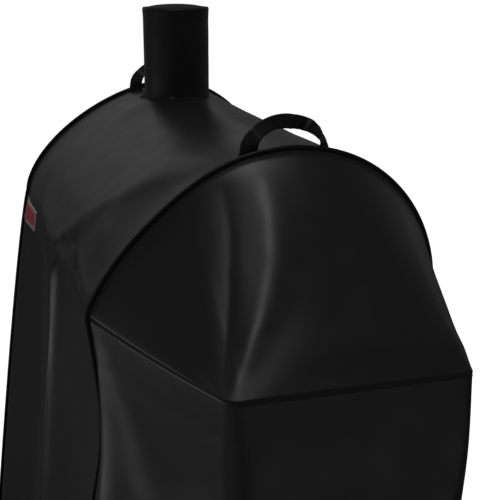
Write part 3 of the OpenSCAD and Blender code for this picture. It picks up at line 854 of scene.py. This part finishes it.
# ---------- hems, tapes and piping
def build_hems():
    """The turned layer inside the bottom edge of each panel."""
    across, right = steps(LEFT_X, RIGHT_X, CELL), steps(0.006, W_END - 0.006, CELL)
    turned = (
        ("front", main, across, steps(-FOOT_Z, HEM - FOOT_Z, CELL)),
        ("back", main, across, steps(ARCH + FOOT_Z - HEM, ARCH + FOOT_Z, CELL)),
        ("left", end_panel, np.linspace(0.01, 0.99, 76), steps(0, HEM, CELL)),
        ("right", skirt, right, steps(-FOOT_Z, HEM - FOOT_Z, CELL)),
    )
    for side, surface, a, b in turned:
        made = patch(f"{side}_hem_turn", lifted(surface, -HEM_PLY), a, b)
        finish_piece(made, CLOTH_BLACK, "cloth", f"{side}_hem")


def build_tapes():
    """Tape over the raw edges inside each seam."""
    whole = steps(HEM + 0.004 - FOOT_Z, ARCH + FOOT_Z - HEM - 0.004, CELL)
    taped = (
        ("right_seam", main, np.linspace(RIGHT_X - TAPE, RIGHT_X - 0.001, 4), whole),
        ("left_seam", main, np.linspace(LEFT_X + 0.001, LEFT_X + TAPE, 4), whole),
        ("shelf_seam", skirt, steps(0.01, W_END - 0.01, CELL), np.linspace(-TAPE, -0.001, 4)),
    )
    for seam, surface, a, b in taped:
        made = patch(f"{seam}_tape", lifted(surface, -TAPE_PLY), a, b, TAPE_T)
        finish_piece(made, BINDING, "tape", f"{seam}_binding")


def build_piping():
    """Skin and filler of the two piped seams, which follow the barrel's section from hem to hem."""
    s = steps(-FOOT_Z + FLOOR_GAP, ARCH + FOOT_Z - FLOOR_GAP, 0.006)
    for side, x in (("right", RIGHT_X), ("left", LEFT_X)):
        place = np.full(s.shape, x)
        out = outward(section, place, s)
        line = section(place, s) + out * PIPING_OUT
        line[:, 0] = x
        skin = tube(f"{side}_piping_skin", line, PIPING_R, 18, 0.03, 0.0008)
        finish_piece(skin, PIPING, "piping", f"{side}_piping_cover")
        core = tube(f"{side}_piping_filler", line, FILLER_R, 10)
        finish_piece(core, FILLER, "filler", f"{side}_piping_cord")


# ---------- handles
STRAP, STRAP_T = 0.021, 0.0018  # width and thickness of the webbing
TACK_HALF = 0.0075  # half the length of a bar tack
# The loop sags to one side and twists at its legs, as (share of its length, outer edge y and z, inner edge y
# and z, twist), in half spans, rises and metres.
LOOP = [(0, -1, 0, -0.62, 0, 0.006), (0.12, -0.93, 0.27, -0.62, 0.16, 0.015),
        (0.25, -0.76, 0.56, -0.55, 0.36, 0.016), (0.38, -0.45, 0.87, -0.3, 0.54, 0.008),
        (0.5, -0.1, 1, -0.04, 0.58, 0), (0.62, 0.3, 0.95, 0.24, 0.55, 0),
        (0.74, 0.66, 0.75, 0.53, 0.44, 0.006), (0.87, 0.89, 0.38, 0.76, 0.22, 0.013),
        (1, 1, 0, 0.78, 0, 0.004)]
# Creases across it: (share of its length, height, width).
KINKS = [(0.24, 0.003, 0.02), (0.575, 0.0062, 0.014), (0.67, -0.005, 0.012), (0.715, 0.006, 0.01),
         (0.79, 0.0045, 0.012), (0.86, -0.004, 0.012)]


def loop_grid(side, centre_y, span, rise, hinge):
    """Points of the webbing: u along the loop, with its feet below 0 and beyond 1, and v across it."""
    u, v = np.meshgrid(np.linspace(-0.16, 1.16, 165), np.linspace(-1, 1, 9), indexing="ij")
    out_y, out_z, in_y, in_z, twist = eased(u.clip(0, 1), LOOP)
    share = (v + 1) / 2
    below = np.maximum(-u, 0) + np.maximum(u - 1, 0)
    y = centre_y + span * (in_y + (out_y - in_y) * share)
    z = hinge.z + rise * (in_z + (out_z - in_z) * share) - below * 0.13
    ground = main(np.full(y.shape, hinge.x), np.interp(y, ARCH_Y, ARCH_S))[..., 2]
    foot = smooth(0, 0.12, below)
    z = np.where(below > 0, z + (ground - 0.002 - z) * foot, z)
    y = y + np.sign(u - 0.5) * 0.006 * foot * share
    lean = 0.0008 * ripples(u, v * 0.1, 61 + len(side), 0.5)
    for place, height, width in KINKS:
        lean = lean + height * bell(u - place - 0.02 * v, width, 1.4)
    lean = lean * smooth(0, 0.1, u) * smooth(0, 0.1, 1 - u)
    x = hinge.x + lean - twist.clip(0) * (share - 0.5)
    return np.stack([x, y, z], -1)


def build_handle(side, joint):
    """Flat webbing loop that rises from its hinge line and sags to one side, with the trim at its feet."""
    low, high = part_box(f"{side}_handle")
    hinge = Vector(joint["pos_m"])
    centre_y, span = (low.y + high.y) / 2, (high.y - low.y) / 2
    grid = loop_grid(side, centre_y, span, high.z - hinge.z, hinge)
    rows, cols = grid.shape[:2]
    made = new_object(f"{side}_handle_strap", grid.reshape(-1, 3), grid_faces(rows, cols))
    lay_cut(made, run_lengths(grid), np.linspace(-1, 1, cols) * STRAP / 2)
    thicken(made, STRAP_T)
    finish_piece(made, WEBBING, "strap", f"{side}_handle", f"{side}_handle_feet", body=None)
    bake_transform(made)
    feet = [centre_y + end * (span - STRAP / 2) for end in (-1, 1)]
    build_tacks(side, hinge, feet)
    build_handle_patches(side, feet)


def thicken(made, thickness):
    """Gives a sheet its thickness in the mesh itself."""
    solidify(made, thickness, 0)
    graph = bpy.context.evaluated_depsgraph_get()
    mesh = bpy.data.meshes.new_from_object(made.evaluated_get(graph), depsgraph=graph)
    made.modifiers.clear()
    made.data = mesh


def build_tacks(side, hinge, feet):
    """Bar tacks through the strap's feet, whose middles have those y."""
    rows = []
    for foot in feet:
        y = np.linspace(foot - TACK_HALF, foot + TACK_HALF, 8)
        for drop in (0.0016, 0.0042):
            x = np.full(8, hinge.x + STRAP_T / 2 + 0.0002)
            line = np.stack([x, y, np.full(8, hinge.z - drop)], -1)
            rows.append((line, np.tile([1.0, 0, 0], (8, 1))))
    tacks = f"{side}_handle_tacks"
    stitches(f"{tacks}_thread", rows, THREAD, 0.0025, 0.0022, 0.0005, [tacks])


def build_handle_patches(side, feet):
    """Patches under the strap's feet, inside the panel."""
    low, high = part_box(f"{side}_handle_patch")
    for end, foot in zip(("front", "back"), feet):
        s = float(np.interp(foot, ARCH_Y, ARCH_S))
        made = patch(f"{side}_handle_patch_{end}", lifted(main, -TAPE_PLY),
                     np.linspace(low.x, high.x, 6), np.linspace(s - 0.03, s + 0.03, 8), 0.001)
        finish_piece(made, BINDING, "tape")
    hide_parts(f"{side}_handle_patch")


# ---------- badge
BADGE_RIM = 0.004  # width of the white border
BADGE_SEWN = 0.0075  # from the badge's edge to the line sewn inside it


def inside_badge(inset):
    """Lowest and highest x and s of the badge, that far inside its edge."""
    s_low, s_high = BADGE_LOW.z - FOOT_Z, BADGE_HIGH.z - FOOT_Z
    return BADGE_LOW.x + inset, BADGE_HIGH.x - inset, s_low + inset, s_high - inset


def build_badge():
    """Woven badge: a white border, and a red field with a thin white line sewn inside its edge."""
    layers = (
        ("border", 0.0, 0.0011, 0.0009, BADGE_WHITE, "badge_white"),
        ("field", BADGE_RIM, 0.0019, 0.0007, BADGE_RED, "badge_red"),
    )
    for layer, inset, lift, thickness, skin, slot in layers:
        x0, x1, s0, s1 = inside_badge(inset)
        across, along = steps(x0, x1, 0.005), steps(s0, s1, 0.004)
        made = patch(f"badge_{layer}_cloth", lifted(main, lift), across, along, thickness)
        finish_piece(made, skin, slot, f"badge_{layer}")
    x0, x1, s0, s1 = inside_badge(BADGE_SEWN)
    corners = [(x0, s0), (x1, s0), (x1, s1), (x0, s1)]
    rows = []
    for (x0, s0), (x1, s1) in zip(corners, corners[1:] + corners[:1]):
        rows.append(row_on(lifted(main, 0.002), np.linspace(x0, x1, 12), np.linspace(s0, s1, 12)))
    stitches("badge_inner_line", rows, PALE_THREAD, 0.0024, 0.0026, 0.0006)


# ---------- sewing
def build_sewing():
    """Topstitching beside the piped seams, along the shelf seam, the hems and the sleeve."""
    whole, drop = steps(0.004 - FOOT_Z, ARCH + FOOT_Z - 0.004, 0.01), steps(0.004 - FOOT_Z, -0.02, 0.01)
    across, hem = steps(LEFT_X + 0.012, RIGHT_X - 0.012, 0.01), HEM - 0.003
    sewn = {
        "right_seam": [row_on(main, RIGHT_X - 0.01, whole)],
        "left_seam": [row_on(main, LEFT_X + 0.01, whole)],
        "gusset_arch": [row_on(gusset, 0.024, np.linspace(0.01, 0.99, 100))],
        "skirt_seam": [row_on(skirt, w, drop) for w in (0.01, W_END - 0.01)],
        "shelf_seam": [row_on(skirt, steps(0.014, W_END - 0.014, 0.006), -0.007)],
        "hem": [
            row_on(main, across, hem - FOOT_Z),
            row_on(main, across, ARCH + FOOT_Z - hem),
            row_on(skirt, steps(0.012, W_END - 0.012, 0.01), hem - FOOT_Z),
            row_on(end_panel, np.linspace(0.02, 0.98, 80), hem),
        ],
    }
    for seam, rows in sewn.items():
        stitches(f"{seam}_stitches", rows, THREAD)
    turn, radius = np.linspace(0, math.tau, 97), SLEEVE_R + 0.006
    x, y = SLEEVE_X + radius * np.cos(turn), SLEEVE_Y + radius * np.sin(turn)
    finer = {
        "cap_seam": row_on(sleeve, turn, SLEEVE_TOP - 0.007),
        "sleeve_seam": row_on(main, x, np.interp(y, ARCH_Y, ARCH_S)),
    }
    for seam, row in finer.items():
        stitches(f"{seam}_stitches", [row], THREAD, 0.005, 0.0036, 0.0005)


# ---------- stage
def area_light(name, place, target, size, power):
    """A soft rectangular light that isn't seen itself."""
    data = bpy.data.lights.new(name, "AREA")
    data.shape = "RECTANGLE"
    data.size, data.size_y = size
    data.energy = power
    made = bpy.data.objects.new(name, data)
    bpy.context.scene.collection.objects.link(made)
    made.visible_camera = False
    made.location = place
    made.rotation_euler = (Vector(target) - Vector(place)).to_track_quat("-Z", "Y").to_euler()


def two_greys(made, lighting, seen):
    """A colour that is one grey for the light it sends to the object and another in the picture."""
    path = node(made, "ShaderNodeLightPath")
    mix = node(made, "ShaderNodeMix", data_type="RGBA", A=(*grey(lighting), 1), B=(*grey(seen), 1))
    link(made, path, "Is Camera Ray", mix, "Factor")
    return path, mix


def build_floor():
    """A pale floor, pure white in the picture, that lights the object less than that from below."""
    half, z = 9, -0.0005
    corners = np.array([(-half, -half, z), (half, -half, z), (half, half, z), (-half, half, z)], float)
    made = new_object("floor", corners, [[0, 1, 2, 3]])
    skin = material("pale_floor", grey(1), 0.9, 0.0)
    shader = skin.node_tree.nodes["Principled BSDF"]
    shader.inputs["Emission Color"].default_value = (1, 1, 1, 1)
    in_picture, colour = two_greys(skin, 0.22, 0.8)
    link(skin, colour, "Result", shader, "Base Color")
    link(skin, in_picture, "Is Camera Ray", shader, "Emission Strength")
    made.data.materials.append(skin)


def build_world():
    world = bpy.data.worlds.new("studio")
    world.use_nodes = True
    colour = two_greys(world, 0.1, 1)[1]
    link(world, colour, "Result", world.node_tree.nodes["Background"], "Color")
    bpy.context.scene.world = world


CAMERA_LENS = 71.24  # millimetres, on a sensor 36 wide
CAMERA_FROM = (1.4878, -0.5026, 0.5482)  # from the middle between the feet of the right arch
CAMERA_YAW, CAMERA_PITCH = 0.2971, 0.2853


def build_camera():
    """Seen from the right and a little from the front, just above the barrel."""
    data = bpy.data.cameras.new("camera")
    data.lens, data.sensor_width = CAMERA_LENS, 36
    made = bpy.data.objects.new("camera", data)
    bpy.context.scene.collection.objects.link(made)
    made.location = (RIGHT_X + CAMERA_FROM[0], MID_Y + CAMERA_FROM[1], FOOT_Z + CAMERA_FROM[2])
    level, down = math.cos(CAMERA_PITCH), math.sin(CAMERA_PITCH)
    way = Vector((-math.cos(CAMERA_YAW) * level, math.sin(CAMERA_YAW) * level, -down))
    made.rotation_euler = way.to_track_quat("-Z", "Y").to_euler()
    bpy.context.scene.camera = made


def build_lights():
    area_light("left_wall", (-4.0, -0.6, 2.5), (-0.1, 0, 1.0), (4.0, 1.5), 3.9)
    area_light("front_low", (-0.65, -2.2, 0.12), (0.2, -0.25, 0.6), (1.1, 0.7), 4.4)
    area_light("front_floor", (0.05, -0.8, 0.02), (0.05, -0.8, 1.0), (0.35, 0.25), 0.12)
    area_light("overhead", (-0.05, -0.08, 3.4), (0.45, -0.02, 1.0), (0.9, 0.25), 6.2)
    area_light("right_low", (2.2, 0.45, 0.02), (2.2, 0.45, 1.0), (1.6, 2.2), 2.8)
    area_light("front_right_low", (1.4, -2.4, 0.02), (1.4, -2.4, 1.0), (1.8, 2.8), 3.4)


# ---------- cut of the cloth
def surface_area(surface, a, b):
    grid = surface(*np.meshgrid(a, b, indexing="ij"))
    across, along = np.diff(grid, axis=0)[:, :-1], np.diff(grid, axis=1)[:-1]
    return float(np.linalg.norm(np.cross(across, along), axis=-1).sum())


def declare_sheets():
    """Lists the pieces sewn to the main panel and measures the areas of the bay's and the gusset's base
    shapes, but keeps none of it.
    """
    half, shelf = np.linspace(0, 1, 80), steps(0, W_END, CELL)
    main_parts = ["front_hem_turn", "back_hem_turn", "right_seam_tape", "left_seam_tape"]
    main_parts += ["badge_border_cloth", "badge_field_cloth"]
    main_parts += [f"{side}_handle_patch_{end}" for side in ("right", "left") for end in ("front", "back")]
    bay_area = surface_area(bay, shelf, steps(-FOOT_Z, 0, CELL))
    surface_area(tent, half, half)


# ---------- build
build_camera()
main_cloth = build_main()
gusset_cloth = build_gusset()
skirt_cloth = build_skirt()
end_cloth = build_end_panel()
sleeve_cloth = build_sleeve()
cap_cloth = build_cap()
build_sleeve_binding()
build_hems()
build_tapes()
build_piping()
for joint in frame["joints"]:
    build_handle(joint["name"].split("_")[0], joint)
build_badge()
build_sewing()
declare_sheets()
build_floor()
build_world()
build_lights()
bpy.context.scene.view_settings.view_transform = "Standard"
